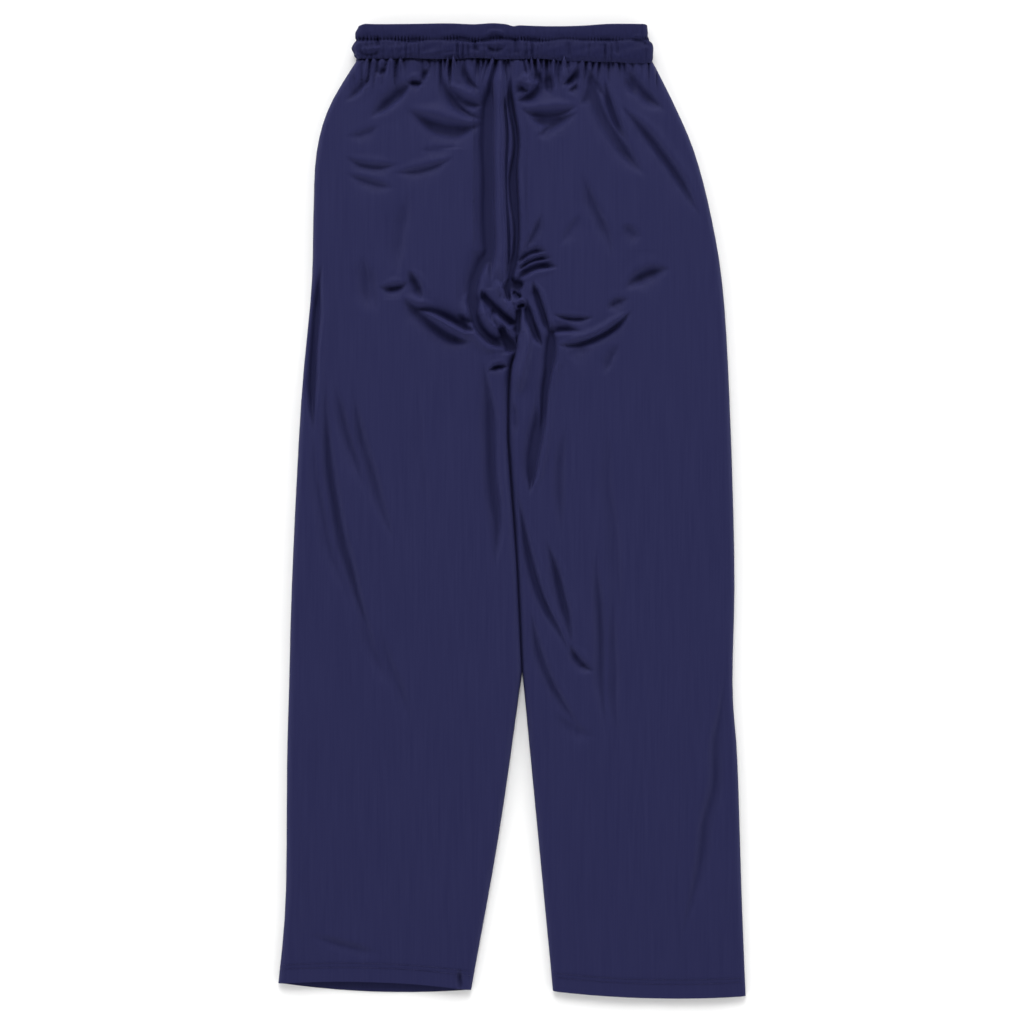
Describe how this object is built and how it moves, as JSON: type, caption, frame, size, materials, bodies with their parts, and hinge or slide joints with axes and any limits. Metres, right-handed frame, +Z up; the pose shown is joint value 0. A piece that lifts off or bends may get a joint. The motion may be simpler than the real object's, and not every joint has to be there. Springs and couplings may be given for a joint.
{
  "type": "training trousers",
  "caption": "Long knit training trousers laid flat, back upwards, with a gathered elastic waistband and straight legs with turned-up hems.",
  "frame": {"origin": "middle of the laid-out garment's outline, on the surface that it lies on", "axes": "+X towards the wearer's right leg, +Y towards the waistband, +Z up through the back of the garment"},
  "size_m": [0.48, 1.0003, 0.015],
  "materials": {
    "knit": "smooth navy polyester knit with a slight satin sheen",
    "knit_inside": "wrong side of the navy knit, matt",
    "seam_thread": "navy overlock thread over cut knit edges",
    "stitch_thread": "navy sewing thread",
    "elastic": "woven white elastic tape",
    "label": "plain white satin label tape"
  },
  "bodies": {
    "root": {"back_panel_left": "knit", "back_panel_right": "knit", "front_panel_left": "knit", "front_panel_right": "knit", "waistband_outer": "knit", "waistband_inner": "knit_inside", "waist_elastic_upper": "elastic", "waist_elastic_lower": "elastic", "waistband_divider_seam": "stitch_thread", "waist_seam": "seam_thread", "side_seam_left": "seam_thread", "side_seam_right": "seam_thread", "inseam_left": "seam_thread", "inseam_right": "seam_thread", "centre_back_seam": "seam_thread", "centre_front_seam": "seam_thread", "hem_turnup_left": "knit_inside", "hem_turnup_right": "knit_inside", "hem_stitching_left": "stitch_thread", "hem_stitching_right": "stitch_thread", "drawcord_eyelet_left": "stitch_thread", "drawcord_eyelet_right": "stitch_thread", "care_label": "label", "size_label": "label"}
  },
  "joints": []
}
